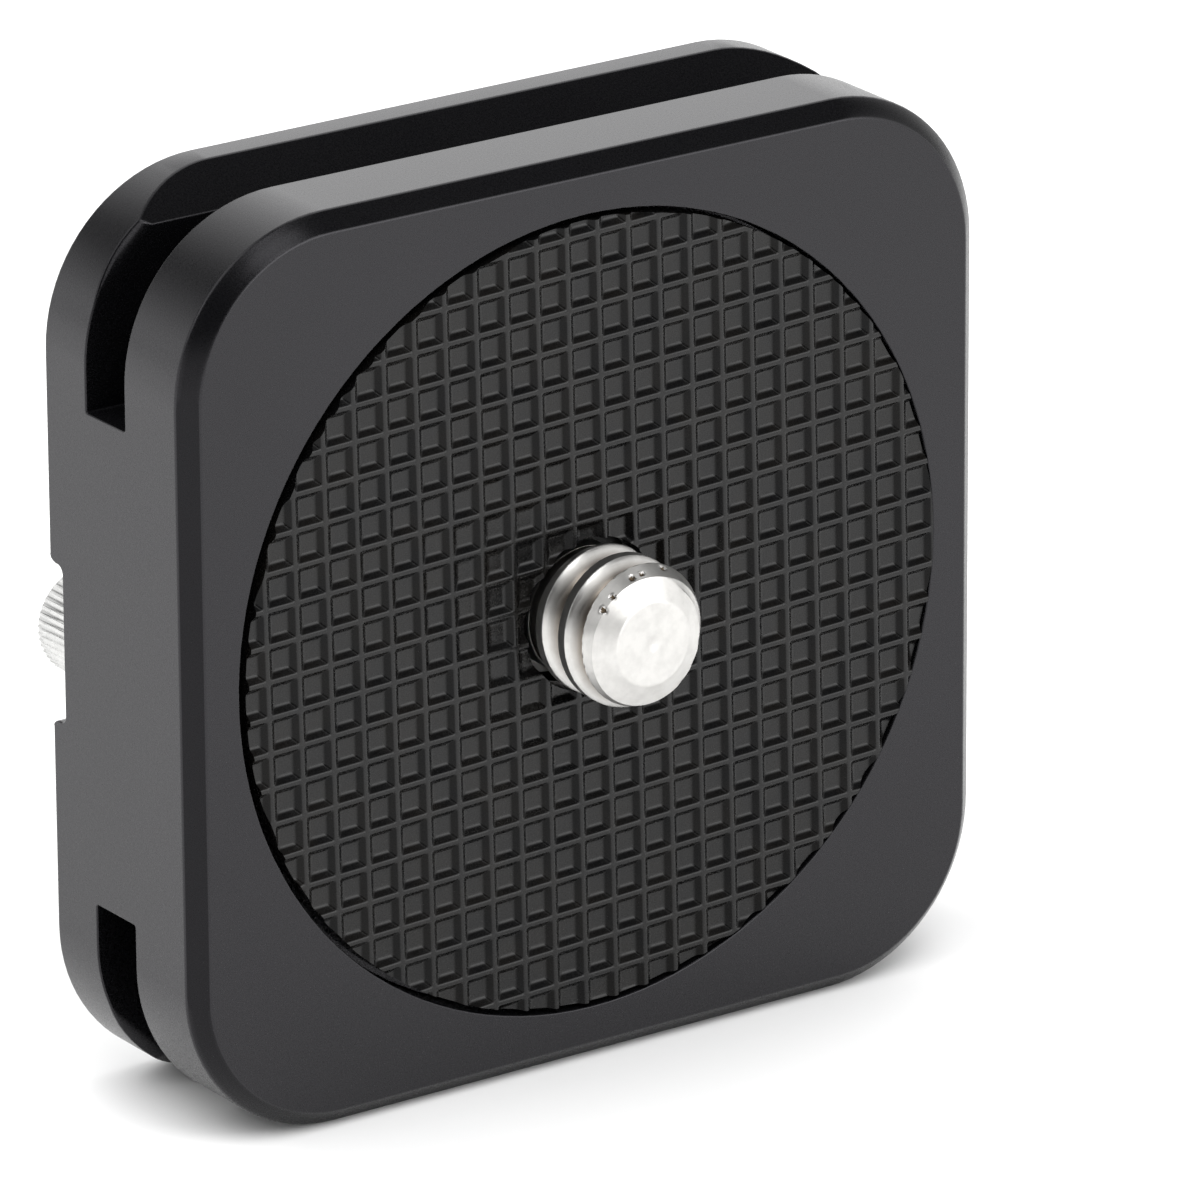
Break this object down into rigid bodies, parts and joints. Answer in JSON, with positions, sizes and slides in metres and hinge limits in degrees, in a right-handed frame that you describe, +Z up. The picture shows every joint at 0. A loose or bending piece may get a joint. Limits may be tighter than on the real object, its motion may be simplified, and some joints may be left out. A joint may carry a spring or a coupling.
{
  "type": "tripod quick release plate",
  "caption": "Square black plate with dovetail rails, a gridded rubber grip pad, a captive camera screw with a folding ring, and stop screws underneath.",
  "frame": {"origin": "middle of the assembly's footprint, on the surface that the plate stands on with its lower dovetail edge", "axes": "+Z up across the dovetail, X along the dovetail, -Y out of the camera face along the camera screw"},
  "size_m": [0.038, 0.0158, 0.038],
  "materials": {
    "anodised_aluminium": "black anodised over a fine blasted surface, satin",
    "rubber": "moulded rubber, matt, dark warm grey",
    "stainless_steel": "turned stainless steel",
    "spring_steel": "oiled spring steel"
  },
  "bodies": {
    "plate": {"plate": "anodised_aluminium", "grip_pad": "rubber", "stop_screw_left": "stainless_steel", "stop_screw_right": "stainless_steel"},
    "clip": {"retaining_clip": "spring_steel"},
    "screw": {"camera_screw": "stainless_steel"},
    "ring": {"d_ring": "stainless_steel"}
  },
  "joints": [
    {"name": "screw_float", "type": "slide", "parent": "plate", "child": "clip", "axis": [0, 1, 0], "range_m": [0, 0.0009]},
    {"name": "screw_turn", "type": "hinge", "parent": "clip", "child": "screw", "pos_m": [0, 0, 0.019], "axis": [0, -1, 0], "continuous": true},
    {"name": "ring_fold", "type": "hinge", "parent": "screw", "child": "ring", "pos_m": [0, 0.00517, 0.019], "axis": [1, 0, 0], "range_deg": [0, 180]}
  ]
}
